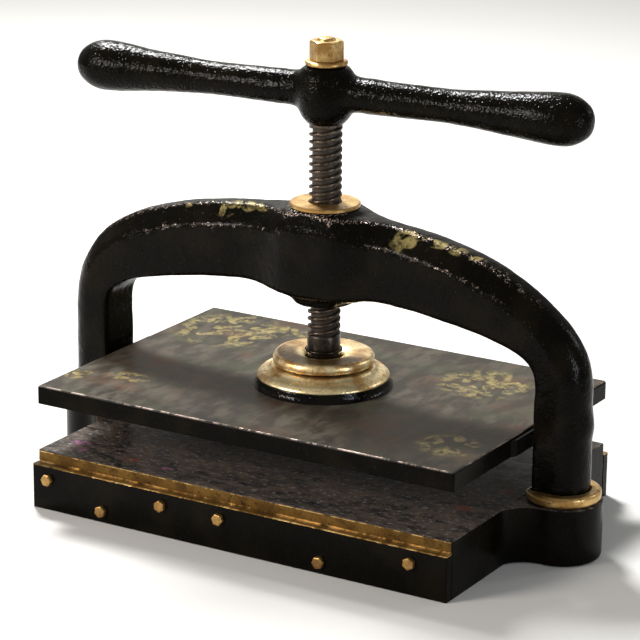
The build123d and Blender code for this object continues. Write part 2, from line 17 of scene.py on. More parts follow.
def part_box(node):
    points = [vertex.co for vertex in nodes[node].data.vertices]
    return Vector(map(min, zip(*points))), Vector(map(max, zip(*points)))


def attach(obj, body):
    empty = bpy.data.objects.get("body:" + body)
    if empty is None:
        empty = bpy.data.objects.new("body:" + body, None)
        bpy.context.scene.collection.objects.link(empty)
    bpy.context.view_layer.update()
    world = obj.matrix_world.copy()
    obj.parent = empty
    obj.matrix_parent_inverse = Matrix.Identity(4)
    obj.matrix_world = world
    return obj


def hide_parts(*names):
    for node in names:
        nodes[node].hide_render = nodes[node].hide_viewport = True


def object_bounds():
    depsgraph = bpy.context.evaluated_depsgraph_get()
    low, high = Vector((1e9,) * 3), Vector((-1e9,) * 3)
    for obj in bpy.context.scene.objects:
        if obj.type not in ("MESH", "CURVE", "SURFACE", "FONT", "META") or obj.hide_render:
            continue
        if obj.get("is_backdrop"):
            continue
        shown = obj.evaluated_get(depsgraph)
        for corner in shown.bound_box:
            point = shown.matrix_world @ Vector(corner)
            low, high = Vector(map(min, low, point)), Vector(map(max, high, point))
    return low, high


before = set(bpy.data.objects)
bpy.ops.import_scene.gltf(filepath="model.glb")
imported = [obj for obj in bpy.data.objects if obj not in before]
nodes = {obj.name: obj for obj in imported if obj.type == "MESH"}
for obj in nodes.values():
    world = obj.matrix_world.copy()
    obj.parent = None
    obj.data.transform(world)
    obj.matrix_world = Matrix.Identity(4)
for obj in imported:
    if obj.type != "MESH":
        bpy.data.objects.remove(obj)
cad_box = [list(corner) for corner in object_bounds()]
MM = 0.001
print(f"{len(nodes)} parts, {cad_box[1][2] / MM:.0f} mm high")

# %% [markdown]
# ## Where things are
#
# Most heights and radii are read from the parts of the engineering model. The few sizes that a
# box does not give are named here once.

# %% Heights and radii from the parts
bed_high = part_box("bed_casting")[1]
strap_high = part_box("front_strap")[1]
flange_low, flange_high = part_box("retainer_flange")
cap_low, cap_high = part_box("retainer_cap")
screw_low, screw_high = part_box("press_screw")

BED_TOP = bed_high.z
BED_HALF_LENGTH = strap_high.x
BED_HALF_DEPTH = -strap_high.y
STRAP_TOP = strap_high.z
SEAT_TOP = flange_low.z
PLATEN_TOP = 106.4 * MM       # the flat plate, around the raised seat
THREAD_LOW = 150.0 * MM
THREAD_HIGH = 331.0 * MM
SCREW_CREST = 13.97 * MM      # radius over the ridges of the thread
SCREW_ROOT = 11.2 * MM        # radius in its grooves
print(f"bed {BED_TOP / MM:.1f}, strap {STRAP_TOP / MM:.1f}, seat {SEAT_TOP / MM:.1f} mm high")

# %% [markdown]
# ## Camera
#
# A long lens from two and a half metres away keeps the verticals upright and the far arm of the
# handle nearly as large as the near one. The camera stands to the right of the front and looks
# down a little. A small upward shift centres the press without tilting the camera further.

# %% Camera
CAMERA_AT = (1.1937, -1.9972, 0.8791)
CAMERA_YAW = 30.93        # degrees to the right of the front
CAMERA_PITCH = 17.37      # degrees down
CAMERA_ROLL = 0.54
CAMERA_LENS = 162.7       # mm, for a sensor 36 mm wide
CAMERA_SHIFT = (-0.0013, 0.0191)

camera_data = bpy.data.cameras.new("camera")
camera_data.lens = CAMERA_LENS
camera_data.sensor_width = 36.0
camera_data.shift_x, camera_data.shift_y = CAMERA_SHIFT
camera = bpy.data.objects.new("camera", camera_data)
bpy.context.scene.collection.objects.link(camera)
turn = Matrix.Rotation(math.radians(CAMERA_YAW), 4, "Z")
tilt = Matrix.Rotation(math.radians(90.0 - CAMERA_PITCH), 4, "X")
lean = Matrix.Rotation(math.radians(CAMERA_ROLL), 4, "Z")
camera.matrix_world = Matrix.Translation(CAMERA_AT) @ turn @ tilt @ lean
bpy.context.scene.camera = camera
print(f"camera {Vector(CAMERA_AT).length:.2f} m away")

# %% [markdown]
# ## Small tools for finishes
#
# Every finish is a graph of shader nodes, and such graphs are much easier to read when one line
# adds one node. `add` plugs in numbers or other nodes' outputs, whichever it is given. Object
# coordinates are in metres here, so a grain size is a real size on the press.

# %% Adding shader nodes
def shade(red, green, blue):
    """A screen colour, 0 to 255 for each part, as the linear colour that a shader needs."""
    def linear(part):
        part /= 255.0
        return part / 12.92 if part <= 0.04045 else ((part + 0.055) / 1.055) ** 2.4
    return (linear(red), linear(green), linear(blue), 1.0)


def add(tree, kind, inputs=None, **settings):
    """Add one shader node, fill or link its inputs, and return it."""
    made = tree.nodes.new("ShaderNode" + kind)
    for name, value in settings.items():
        setattr(made, name, value)
    for name, value in (inputs or {}).items():
        if isinstance(value, bpy.types.NodeSocket):
            tree.links.new(value, made.inputs[name])
        else:
            made.inputs[name].default_value = value
    return made


def place(tree):
    """Object coordinates, in metres."""
    found = tree.nodes.get("place") or add(tree, "TexCoord", name="place")
    return found.outputs["Object"]


print("a screen grey of 128 is a linear", round(shade(128, 128, 128)[0], 3))

# %% [markdown]
# A few more helpers do nearly all the work: arithmetic, a soft step between two values, noise of
# a given grain size, and a mix of two values or colours. A mask is a value from 0 to 1, and the
# product of two masks is the place where both hold.

# %% Arithmetic, steps, noise and mixing
def calc(tree, operation, first, second=0.0, third=0.0):
    """One Math node."""
    return add(tree, "Math", {0: first, 1: second, 2: third}, operation=operation).outputs[0]


def times(tree, first, second):
    return calc(tree, "MULTIPLY", first, second)


def plus(tree, first, second):
    return calc(tree, "ADD", first, second)


def from_centre(tree, across, along):
    """Distance of the point (across, along) from zero."""
    squares = plus(tree, times(tree, across, across), times(tree, along, along))
    return calc(tree, "SQRT", squares)


def step(tree, value, low, high):
    """Soft step: 0 at low, 1 at high. Low may be the larger of the two."""
    inputs = {"Value": value, "From Min": low, "From Max": high}
    return add(tree, "MapRange", inputs, interpolation_type="SMOOTHSTEP").outputs["Result"]


def grain(tree, size, detail=2.0, rough=0.5, stretch=(1, 1, 1), shift=0.0):
    """Noise from 0 to 1 with blobs of about the given size in metres."""
    inputs = {"Vector": place(tree), "Location": (shift,) * 3, "Scale": stretch}
    moved = add(tree, "Mapping", inputs).outputs[0]
    inputs = {"Vector": moved, "Scale": 1.0 / size, "Detail": detail, "Roughness": rough}
    return add(tree, "TexNoise", inputs).outputs["Fac"]


def mix(tree, mask, under, over):
    """Under where the mask is 0, over where it is 1, for numbers and for colours."""
    def is_colour(value):
        return getattr(value, "type", None) == "RGBA" or isinstance(value, tuple)
    if is_colour(under):
        return add(tree, "Mix", {0: mask, 6: under, 7: over}, data_type="RGBA").outputs[2]
    return add(tree, "Mix", {0: mask, 2: under, 3: over}, data_type="FLOAT").outputs[0]


def axis(tree, letter):
    """One of the three object coordinates."""
    found = tree.nodes.get("axes") or add(tree, "SeparateXYZ", {0: place(tree)}, name="axes")
    return found.outputs[letter]


print("grain of 2 mm is a noise scale of", 1.0 / (2 * MM))

# %% [markdown]
# ## Layers of paint
#
# A japanned press is layers: iron, black varnish baked on, gilt on top, and places where each has
# worn through. So a finish is built as layers too. One layer is a colour, a roughness, a
# metallic share and a height in millimetres; `coat` lays one over another through a mask, and
# `finish` turns the result into a material. The amount of reflection is a plain number on the
# shader, because it is the same all over.

# %% Layers
def layer(colour, roughness, metallic, height):
    return {"colour": colour, "roughness": roughness, "metallic": metallic, "height": height}


def coat(tree, mask, under, over):
    """Lay one layer over another where the mask is 1."""
    return {part: mix(tree, mask, under[part], over[part]) for part in under}


def new_finish(name):
    material = bpy.data.materials.new(name)
    material.use_nodes = True
    material.node_tree.nodes.clear()
    return material


def finish(material, top, specular=0.5):
    """Wire a layer into a Principled shader."""
    tree = material.node_tree
    bump = add(tree, "Bump", {"Height": top["height"], "Distance": MM, "Strength": 1.0})
    shader = add(tree, "BsdfPrincipled", {
        "Base Color": top["colour"],
        "Roughness": top["roughness"],
        "Metallic": top["metallic"],
        "Normal": bump.outputs[0],
        "Specular IOR Level": specular,
    })
    add(tree, "OutputMaterial", {"Surface": shader.outputs[0]})
    print(f"{material.name}: {len(tree.nodes)} shader nodes")
    return material


# %% [markdown]
# ### Black japan
#
# Japan is a thick asphalt varnish. Over sand-cast iron it follows the grain of the sand and sags
# into an orange peel, so a highlight on it breaks into sparks. It is nearly black, a little brown
# where it is thin. Where old hands and years have thinned it on the ridges, the brown shows.

# %% Black japan layer
JAPAN_BLACK = shade(7, 6, 4)
JAPAN_BROWN = shade(16, 13, 8)
JAPAN_DUST = shade(44, 37, 28)


def cast_grain(tree, peel, sand):
    """Height of a varnished casting in millimetres: orange peel over the grain of the sand."""
    broad = times(tree, grain(tree, 5.5 * MM, detail=1.0), peel)
    fine = times(tree, grain(tree, 2.1 * MM, detail=1.0), sand)
    pits = add(tree, "TexVoronoi", {"Vector": place(tree), "Scale": 1.0 / (3.4 * MM)})
    pit = times(tree, step(tree, pits.outputs["Distance"], 0.30, 0.05), -0.7 * sand)
    return plus(tree, plus(tree, broad, fine), pit)


def japan(tree, peel=0.10, sand=0.035, roughness=0.22):
    """Black varnish over cast iron, brown where it is thin, with a little dust in it."""
    thin = step(tree, grain(tree, 34 * MM, detail=3.0), 0.42, 0.70)
    colour = mix(tree, thin, JAPAN_BLACK, JAPAN_BROWN)
    dust = step(tree, grain(tree, 1.6 * MM, detail=1.0, shift=0.3), 0.66, 0.80)
    colour = mix(tree, times(tree, dust, 0.5), colour, JAPAN_DUST)
    dull = times(tree, grain(tree, 12 * MM, detail=4.0, shift=0.7), 0.16)
    rough = plus(tree, dull, roughness - 0.08)
    return layer(colour, rough, 0.0, cast_grain(tree, peel, sand))


# %% [markdown]
# ### Gilt
#
# The bright parts are painted with bronze powder in varnish, not leaf. It is a metal colour with
# brown in its hollows, soft brush marks, and chips through to the black. Mixing some ordinary
# paint in with the metal keeps its colour where there is nothing bright to reflect.

# %% Gilt layer
FRESH_GILT = (shade(242, 222, 172), shade(192, 150, 90), shade(98, 64, 32))
RUBBED_AND_HIGHLIGHT_GILT = (shade(200, 168, 108), shade(160, 122, 68), shade(92, 62, 32))
# darker copy of the gilt for the strap bolts: a painted shade standing for a darker reflection
SHADED_BOLT_GILT = (shade(168, 132, 76), shade(134, 98, 52), shade(84, 58, 30))
# darker copy of the gilt: a painted shade for faces that mirror dark surroundings, on the band and
# the front of the cap's top
SHADED_GILT = (shade(104, 78, 36), shade(80, 57, 25), shade(44, 31, 16))


def gilt(tree, tones=FRESH_GILT, roughness=0.34, metallic=0.86):
    """Bronze-powder paint in three tones: light, warm and stained."""
    light, warm, stained = tones
    cloud = step(tree, grain(tree, 20 * MM, detail=4.0, rough=0.6, shift=0.2), 0.40, 0.62)
    colour = mix(tree, cloud, light, warm)
    stain = step(tree, grain(tree, 3.2 * MM, detail=4.0, rough=0.65, shift=0.9), 0.52, 0.72)
    colour = mix(tree, times(tree, stain, 0.85), colour, stained)
    rough = plus(tree, roughness, times(tree, stain, 0.22))
    metal = calc(tree, "SUBTRACT", metallic, times(tree, stain, 0.35))
    broad = times(tree, grain(tree, 6 * MM, detail=1.0), 0.10)
    fine = times(tree, grain(tree, 1.5 * MM, detail=2.0), 0.14)
    return layer(colour, rough, metal, plus(tree, broad, fine))


def chips(tree, share, size):
    """Mask that is 0 where the gilt has chipped away, in flakes of a size in millimetres."""
    ragged = grain(tree, size * MM, detail=6.0, rough=0.7, shift=1.7)
    return step(tree, ragged, share - 0.02, share + 0.03)


# %% [markdown]
# ### Bare and worn iron
#
# Where the varnish has rubbed through, the iron is brown and duller. The screw is bare: dark oily
# steel in its grooves, rubbed pale on the crests of its ridges.

# %% Worn iron layer
IRON_BROWN = shade(112, 84, 66)
IRON_GREY = shade(128, 122, 114)


def worn_iron(tree):
    """Iron that shows through worn varnish."""
    rust = step(tree, grain(tree, 8 * MM, detail=4.0, shift=2.2), 0.40, 0.66)
    colour = mix(tree, rust, IRON_GREY, IRON_BROWN)
    rough = plus(tree, 0.36, times(tree, rust, 0.22))
    height = times(tree, grain(tree, 1.4 * MM, detail=3.0), 0.05)
    return layer(colour, rough, 0.55, height)


# %% [markdown]
# ### Painted highlights on points and edges
#
# Pale metallic specks are painted on the upper ridges of the arch as a painted highlight, standing
# for the sparks of light on the grain there. A long straight edge gets a painted highlight in
# dashes.

# %% Painted highlights on points and edges
PAINTED_HIGHLIGHT_PALE = shade(196, 176, 164)
PAINTED_HIGHLIGHT_GREY = shade(150, 134, 124)


def painted_highlight_layer(tree):
    """Pale metallic layer, laid on as a painted highlight."""
    colour = mix(tree, grain(tree, 5 * MM, detail=2.0, shift=6.2), PAINTED_HIGHLIGHT_PALE, PAINTED_HIGHLIGHT_GREY)
    return layer(colour, 0.30, 0.8, times(tree, grain(tree, 1.2 * MM), 0.05))


def specks(tree, size, share):
    """Mask of separate specks of a size in millimetres. A larger share leaves fewer of them."""
    return step(tree, grain(tree, size * MM, detail=3.0, rough=0.6, shift=7.7), share, share + 0.06)


def painted_highlight_line(tree, height, half_width):
    """Mask of a thin level line at one height, broken into dashes, for a painted highlight along an
    edge.
    """
    away = calc(tree, "ABSOLUTE", calc(tree, "SUBTRACT", axis(tree, "Z"), height))
    dashes = grain(tree, 12 * MM, detail=5.0, rough=0.7, stretch=(1.0, 0.2, 0.2), shift=2.7)
    line = step(tree, away, half_width, 0.5 * half_width)
    return times(tree, line, step(tree, dashes, 0.42, 0.56))


# %% [markdown]
# ### Painted sprigs
#
# Faded gilt flowers and leaves are scattered over the platen and the shoulders of the arch. Cell
# noise gives every cell its own centre, so the angle and distance from that centre draw one
# flower in each cell with a handful of nodes. Two petals make a pair of leaves. Soft regions say
# where sprigs were painted, and ragged noise wears most of them away again.

# %% Sprigs
def flowers(tree, across, along, size, petals, fullness):
    """Mask of flowers on the plane of two coordinates. Every cell turns its own flower."""
    flat = add(tree, "CombineXYZ", {0: across, 1: along, 2: 0.0}).outputs[0]
    cells = add(tree, "TexVoronoi", {"Vector": flat, "Scale": 1.0 / size, "Randomness": 0.85},
                voronoi_dimensions="2D")
    local = add(tree, "VectorMath", {0: flat, 1: cells.outputs["Position"]},
                operation="SUBTRACT").outputs[0]
    parts = add(tree, "SeparateXYZ", {0: local})
    hue = add(tree, "SeparateColor", {0: cells.outputs["Color"]})
    angle = calc(tree, "ARCTAN2", parts.outputs["Y"], parts.outputs["X"])
    turned = calc(tree, "MULTIPLY_ADD", hue.outputs[0], 2 * math.pi, angle)
    wave = calc(tree, "COSINE", times(tree, turned, petals))
    reach = calc(tree, "MULTIPLY_ADD", wave, 0.17 * size * fullness, 0.30 * size * fullness)
    distance = add(tree, "VectorMath", {0: local}, operation="LENGTH").outputs["Value"]
    edge = calc(tree, "SUBTRACT", reach, distance)
    return step(tree, edge, -0.04 * size, 0.06 * size)


def region(tree, across, along, centre, size):
    """Soft oval patch, its centre and half size in millimetres: 1 in the middle, 0 outside."""
    ax = calc(tree, "DIVIDE", calc(tree, "SUBTRACT", across, centre[0] * MM), size[0] * MM)
    ay = calc(tree, "DIVIDE", calc(tree, "SUBTRACT", along, centre[1] * MM), size[1] * MM)
    return step(tree, from_centre(tree, ax, ay), 1.1, 0.7)


def sprigs(tree, across, along, patches):
    """Mask of worn gilt sprigs inside oval patches, each a (centre, half size)."""
    inside = 0.0
    for centre, size in patches:
        inside = calc(tree, "MAXIMUM", inside, region(tree, across, along, centre, size))
    large = flowers(tree, across, along, 34 * MM, 5.0, 1.1)
    leaves = flowers(tree, along, across, 24 * MM, 2.0, 1.1)
    drawn = calc(tree, "MAXIMUM", large, leaves)
    veins = flowers(tree, across, along, 13 * MM, 3.0, 0.7)
    drawn = calc(tree, "SUBTRACT", drawn, times(tree, veins, 0.45))
    worn = step(tree, grain(tree, 8 * MM, detail=5.0, rough=0.65, shift=3.1), 0.36, 0.62)
    shown = times(tree, calc(tree, "MAXIMUM", drawn, 0.0), worn)
    return times(tree, times(tree, shown, inside), 0.72)


SPRIG_GREEN = shade(122, 110, 62)
SPRIG_PALE = shade(168, 152, 102)


def sprig_paint(tree):
    """Old gilt of the sprigs: olive and thin."""
    colour = mix(tree, grain(tree, 9 * MM, detail=2.0, shift=4.0), SPRIG_GREEN, SPRIG_PALE)
    return layer(colour, 0.42, 0.35, times(tree, grain(tree, 1.5 * MM), 0.03))


# %% [markdown]
# ## Finishes of the castings
#
# The arch and the handle are remade below as lumpy castings, and those meshes carry an attribute
# called `edge` that is high on their outward ridges. The finish reads it to wear the varnish
# through at the sharpest of them and, on the arch, to strew pale sparks along the upper ones as a
# painted highlight.
# There is very little specular reflection: an upright black face would mirror the pale floor.

# %% Arch and handle finishes
def ridge_wear_and_highlight(tree, low, high):
    """Mask of the outward ridges, broken up by noise: for worn varnish, and on the arch also for
    painted highlights.
    """
    ridge = add(tree, "Attribute", attribute_name="edge").outputs["Fac"]
    ragged = calc(tree, "SUBTRACT", grain(tree, 4 * MM, detail=5.0, shift=5.0), 0.5)
    return step(tree, plus(tree, ridge, times(tree, ragged, 0.9)), low, high)


def arch_finish():
    material = new_finish("arch_japan")
    tree = material.node_tree
    varnish = japan(tree, peel=0.34, sand=0.24, roughness=0.18)
    body = coat(tree, ridge_wear_and_highlight(tree, 1.15, 1.55), varnish, worn_iron(tree))
    # painted highlight: pale specks on the upper ridges, only high on the arch, stand for glints of
    # light
    sparks = times(tree, ridge_wear_and_highlight(tree, 0.26, 0.56), specks(tree, 1.5, 0.52))
    above = step(tree, axis(tree, "Z"), 204 * MM, 228 * MM)
    body = coat(tree, times(tree, sparks, above), body, painted_highlight_layer(tree))
    # the sprigs lie on the sloping faces: their second coordinate runs up the slope
    slope = times(tree, plus(tree, axis(tree, "Y"), axis(tree, "Z")), 0.7)
    patches = [((-134, 168), (12, 6)), ((-90, 164), (10, 7)), ((-76, 171), (17, 7)),
               ((-52, 172), (10, 6)), ((88, 163), (18, 12)), ((112, 167), (12, 5)),
               ((130, 166), (9, 6)), ((149, 162), (7, 5))]
    upper = step(tree, axis(tree, "Z"), 212 * MM, 226 * MM)
    mask = times(tree, sprigs(tree, axis(tree, "X"), slope, patches), upper)
    return finish(material, coat(tree, mask, body, sprig_paint(tree)), specular=0.055)


def handle_finish():
    material = new_finish("handle_japan")
    tree = material.node_tree
    varnish = japan(tree, peel=0.36, sand=0.55, roughness=0.16)
    body = coat(tree, ridge_wear_and_highlight(tree, 1.0, 1.45), varnish, worn_iron(tree))
    return finish(material, body, specular=0.05)


arch_material = arch_finish()
handle_material = handle_finish()

# %% [markdown]
# ## Finishes of the platen
#
# The platen's top is the worn face that everybody sees: scuffed thin, brown-grey, with the faded
# sprigs, its colours also lightened a little as a painted sheen. Its sides and underside are plain
# black, and its upper edge gets a painted highlight in dashes.

# %% Platen finish
# scuffed colours of the top, also lightened a little as a painted sheen
SCUFF_AND_SHEEN_DARK = shade(54, 50, 44)
SCUFF_AND_SHEEN_LIGHT = shade(80, 75, 66)
SCUFF_AND_SHEEN_GREEN = shade(66, 70, 52)
SCUFF_AND_SHEEN_RED = shade(88, 62, 48)


def platen_finish():
    material = new_finish("platen_japan")
    tree = material.node_tree
    black = japan(tree, peel=0.05, sand=0.03, roughness=0.24)
    scuffs = grain(tree, 14 * MM, detail=6.0, rough=0.65, stretch=(1.0, 0.45, 1.0), shift=6.0)
    colour = mix(tree, step(tree, scuffs, 0.40, 0.66), SCUFF_AND_SHEEN_DARK, SCUFF_AND_SHEEN_LIGHT)
    green = step(tree, grain(tree, 46 * MM, detail=4.0, shift=6.6), 0.50, 0.72)
    red = step(tree, grain(tree, 38 * MM, detail=4.0, shift=9.3), 0.50, 0.70)
    colour = mix(tree, times(tree, green, 0.4), colour, SCUFF_AND_SHEEN_GREEN)
    colour = mix(tree, times(tree, red, 0.4), colour, SCUFF_AND_SHEEN_RED)
    rough = plus(tree, 0.30, times(tree, step(tree, scuffs, 0.35, 0.7), 0.22))
    top = layer(colour, rough, 0.0, cast_grain(tree, 0.05, 0.05))
    patches = [((-148, 82), (52, 50)), ((-147, -75), (22, 12)), ((-188, -92), (12, 14)),
               ((118, 70), (42, 40)), ((166, -82), (28, 26)), ((-92, 112), (24, 16))]
    sprig = sprigs(tree, axis(tree, "X"), axis(tree, "Y"), patches)
    top = coat(tree, sprig, top, sprig_paint(tree))
    on_top = step(tree, axis(tree, "Z"), PLATEN_TOP - 1.1 * MM, PLATEN_TOP - 0.4 * MM)
    body = coat(tree, on_top, black, top)
    # painted highlight: a pale broken line along the platen's top edge
    edge = painted_highlight_line(tree, PLATEN_TOP - 0.5 * MM, 0.5 * MM)
    painted_light = times(tree, edge, specks(tree, 16, 0.46))
    body = coat(tree, painted_light, body, painted_highlight_layer(tree))
    return finish(material, body, specular=0.035)


platen_material = platen_finish()

# %% [markdown]
# ## Finishes of the bed and its straps
#
# The bed's flat top is stained by years of ink, water and paste: streaks of black, brown and grey,
# and a few pink and red spots near its edges. The upright faces are black. The narrow face above
# each strap and the strap's own top ledge are gilt, chipped most along their edges. That gilt is in
# darker tones as a painted shade, and painted highlights run in dashes along the bed's top edge,
# the corner above each strap and the strap's top edge.

# %% Bed and strap finishes
BED_BLACK = shade(32, 30, 29)
BED_BROWN = shade(80, 70, 62)
BED_GREY = shade(146, 140, 138)
INK_PINK = shade(124, 78, 108)
INK_RED = shade(112, 54, 42)


def stained_top(tree):
    """Ink-stained flat top of the bed."""
    streaks = grain(tree, 9 * MM, detail=7.0, rough=0.7, stretch=(0.5, 1.0, 1.0), shift=7.0)
    colour = mix(tree, step(tree, streaks, 0.38, 0.60), BED_BLACK, BED_BROWN)
    pale = grain(tree, 3.6 * MM, detail=6.0, rough=0.75, stretch=(0.6, 1.0, 1.0), shift=8.0)
    pale = step(tree, pale, 0.52, 0.70)
    colour = mix(tree, times(tree, pale, 0.85), colour, BED_GREY)
    spots = [((-179, -103), (11, 6), INK_PINK), ((-168, -116), (6, 6), INK_PINK),
             ((-117, -116), (7, 5), INK_RED), ((-80, -118), (6, 4), INK_PINK),
             ((173, -66), (9, 6), INK_RED), ((186, -14), (7, 9), INK_RED),
             ((-60, 90), (24, 10), INK_PINK)]
    for centre, size, ink in spots:
        spot = region(tree, axis(tree, "X"), axis(tree, "Y"), centre, size)
        ragged = step(tree, grain(tree, 4 * MM, detail=5.0, shift=centre[0] * 0.1), 0.36, 0.58)
        colour = mix(tree, times(tree, spot, ragged), colour, ink)
    rough = plus(tree, 0.26, times(tree, step(tree, streaks, 0.3, 0.7), 0.30))
    return layer(colour, rough, 0.0, cast_grain(tree, 0.10, 0.09))


def gilt_band(tree, share):
    """Gilt in darker tones as a painted shade, with its chips, laid on black, as one layer."""
    shaded_gilt = gilt(tree, SHADED_GILT, roughness=0.46, metallic=0.5)
    return coat(tree, chips(tree, share, 9.0), japan(tree), shaded_gilt)


def bed_finish():
    material = new_finish("bed_iron")
    tree = material.node_tree
    body = japan(tree, peel=0.06, sand=0.04, roughness=0.26)
    up = axis(tree, "Z")
    out = calc(tree, "ABSOLUTE", axis(tree, "Y"))
    along = calc(tree, "ABSOLUTE", axis(tree, "X"))
    # the band is on the long upright faces, above the straps and short of the corners
    band = times(tree, step(tree, out, BED_HALF_DEPTH - 1.3 * MM, BED_HALF_DEPTH - 0.5 * MM),
                 step(tree, along, BED_HALF_LENGTH - 0.4 * MM, BED_HALF_LENGTH - 1.6 * MM))
    band = times(tree, band, step(tree, up, STRAP_TOP - 1.5 * MM, STRAP_TOP - 0.5 * MM))
    painted = gilt_band(tree, 0.33)
    # painted highlight: bright broken lines along the top edge of the band and at the corner above
    # the strap
    painted_highlight = calc(tree, "MAXIMUM", painted_highlight_line(tree, BED_TOP - 1.3 * MM, 0.5 * MM),
                  painted_highlight_line(tree, STRAP_TOP + 0.5 * MM, 0.7 * MM))
    painted = coat(tree, painted_highlight, painted, gilt(tree, RUBBED_AND_HIGHLIGHT_GILT, roughness=0.28))
    ragged = calc(tree, "MULTIPLY_ADD", grain(tree, 3 * MM, detail=3.0, shift=4.4), 1.2 * MM, up)
    band = times(tree, band, step(tree, ragged, BED_TOP - 0.1 * MM, BED_TOP - 0.4 * MM))
    body = coat(tree, band, body, painted)
    # the ears stop half a millimetre lower than the top
    on_top = step(tree, up, BED_TOP - 0.5 * MM, BED_TOP - 0.1 * MM)
    on_ear = times(tree, step(tree, along, BED_HALF_LENGTH - 1.0 * MM, BED_HALF_LENGTH),
                   step(tree, up, BED_TOP - 1.2 * MM, BED_TOP - 0.7 * MM))
    stained = calc(tree, "MAXIMUM", on_top, on_ear)
    return finish(material, coat(tree, stained, body, stained_top(tree)), specular=0.06)


def strap_finish():
    material = new_finish("strap_iron")
    tree = material.node_tree
    ledge = step(tree, axis(tree, "Z"), STRAP_TOP - 1.0 * MM, STRAP_TOP - 0.6 * MM)
    faded = step(tree, axis(tree, "X"), -BED_HALF_LENGTH + 10 * MM, -BED_HALF_LENGTH + 34 * MM)
    shown = times(tree, ledge, calc(tree, "MAXIMUM", faded, 0.25))
    # painted highlight: a bright broken line along the strap's top edge
    painted_highlight = painted_highlight_line(tree, STRAP_TOP - 0.5 * MM, 0.6 * MM)
    painted = coat(tree, painted_highlight, gilt_band(tree, 0.34), gilt(tree, RUBBED_AND_HIGHLIGHT_GILT))
    body = coat(tree, shown, japan(tree, peel=0.05, sand=0.03, roughness=0.26), painted)
    return finish(material, body, specular=0.05)


bed_material = bed_finish()
strap_material = strap_finish()

# %% [markdown]
# ## Gilt pieces, the screw and the hidden fastenings
#
# The collars, washer, nut, bolts and cap share the bronze-powder paint, in tones that say how much
# each is handled; the bolts' darker tone and the darkened front of the cap's top are painted shade.
# The screw tells its crests from its grooves by the distance from its axis. The fastenings that
# nobody sees are plain dull metal.

# %% Gilt, steel and bronze finishes
OIL_DARK = shade(30, 25, 20)
OIL_BROWN = shade(66, 54, 42)
STEEL_PALE = shade(108, 96, 84)
STEEL_BROWN = shade(72, 62, 52)
NECK_BLACK = shade(24, 20, 17)
STUD_END = 9 * MM             # length of the gilt end of the stud


def gilt_finish(name, share, size, tones):
    """Gilt over black, with a share of it chipped away in flakes of the given size."""
    material = new_finish(name)
    tree = material.node_tree
    under = japan(tree, peel=0.05, sand=0.04)
    return finish(material, coat(tree, chips(tree, share, size), under, gilt(tree, tones)))


def screw_finish():
    """Oily dark steel, worn pale on the crests, black at the neck and gilt at the top."""
    material = new_finish("screw_steel")
    tree = material.node_tree
    radius = from_centre(tree, axis(tree, "X"), axis(tree, "Y"))
    shoulder = SCREW_ROOT + 0.72 * (SCREW_CREST - SCREW_ROOT)
    worn = step(tree, radius, shoulder, SCREW_CREST - 0.05 * MM)
    ragged = step(tree, grain(tree, 3 * MM, detail=4.0, shift=1.1), 0.30, 0.62)
    oil = mix(tree, grain(tree, 6 * MM, detail=4.0), OIL_DARK, OIL_BROWN)
    steel = mix(tree, grain(tree, 2 * MM, detail=3.0, shift=0.4), STEEL_PALE, STEEL_BROWN)
    colour = mix(tree, times(tree, worn, ragged), oil, steel)
    neck = step(tree, axis(tree, "Z"), THREAD_LOW + 4 * MM, THREAD_LOW - 4 * MM)
    colour = mix(tree, times(tree, neck, 0.75), colour, NECK_BLACK)
    rough = mix(tree, worn, 0.46, 0.30)
    height = times(tree, grain(tree, 0.9 * MM, detail=3.0), 0.04)
    steel = layer(colour, rough, mix(tree, worn, 0.45, 0.85), height)
    stud_foot = screw_high.z - STUD_END
    stud_end = step(tree, axis(tree, "Z"), stud_foot, stud_foot + 1 * MM)
    return finish(material, coat(tree, stud_end, steel, gilt(tree, RUBBED_AND_HIGHLIGHT_GILT)))


def hidden_finish(name, dark, light, metallic):
    """Plain fastening: dull metal with a cloudy oxide."""
    material = new_finish(name)
    tree = material.node_tree
    cloud = grain(tree, 5 * MM, detail=5.0)
    colour = mix(tree, step(tree, cloud, 0.35, 0.65), dark, light)
    rough = plus(tree, 0.34, times(tree, cloud, 0.2))
    height = times(tree, grain(tree, 1 * MM), 0.03)
    return finish(material, layer(colour, rough, metallic, height))


def cap_finish():
    """Fresh gilt, with the level top of the cap darkened towards the front as a painted shade."""
    material = new_finish("gilt_cap")
    tree = material.node_tree
    body = coat(tree, chips(tree, 0.31, 7.0), japan(tree, peel=0.05, sand=0.04), gilt(tree))
    level = step(tree, axis(tree, "Z"), cap_high.z - 2.0 * MM, cap_high.z - 1.2 * MM)
    radius = from_centre(tree, axis(tree, "X"), axis(tree, "Y"))
    inner = step(tree, radius, cap_high.x - 3.5 * MM, cap_high.x - 6.0 * MM)
    # painted shade: the level top is darkened with the shaded gilt towards the front
    cloud = grain(tree, 18 * MM, detail=3.0, shift=8.4)
    waver = calc(tree, "MULTIPLY_ADD", cloud, 26 * MM, axis(tree, "Y"))
    shaded_front = step(tree, waver, 24 * MM, 8 * MM)
    painted_light = gilt(tree, SHADED_GILT, roughness=0.42, metallic=0.6)
    share = times(tree, times(tree, level, inner), calc(tree, "MULTIPLY_ADD", shaded_front, 0.32, 0.62))
    return finish(material, coat(tree, share, body, painted_light))


cap_material = cap_finish()
trim_material = gilt_finish("gilt_trim", 0.34, 4.5, RUBBED_AND_HIGHLIGHT_GILT)
bolt_material = gilt_finish("gilt_bolts", 0.36, 2.6, SHADED_BOLT_GILT)
screw_material = screw_finish()
steel_material = hidden_finish("dark_fastening", shade(44, 40, 36), shade(104, 98, 90), 0.8)
bronze_material = hidden_finish("old_bronze", shade(92, 62, 30), shade(150, 112, 60), 0.85)

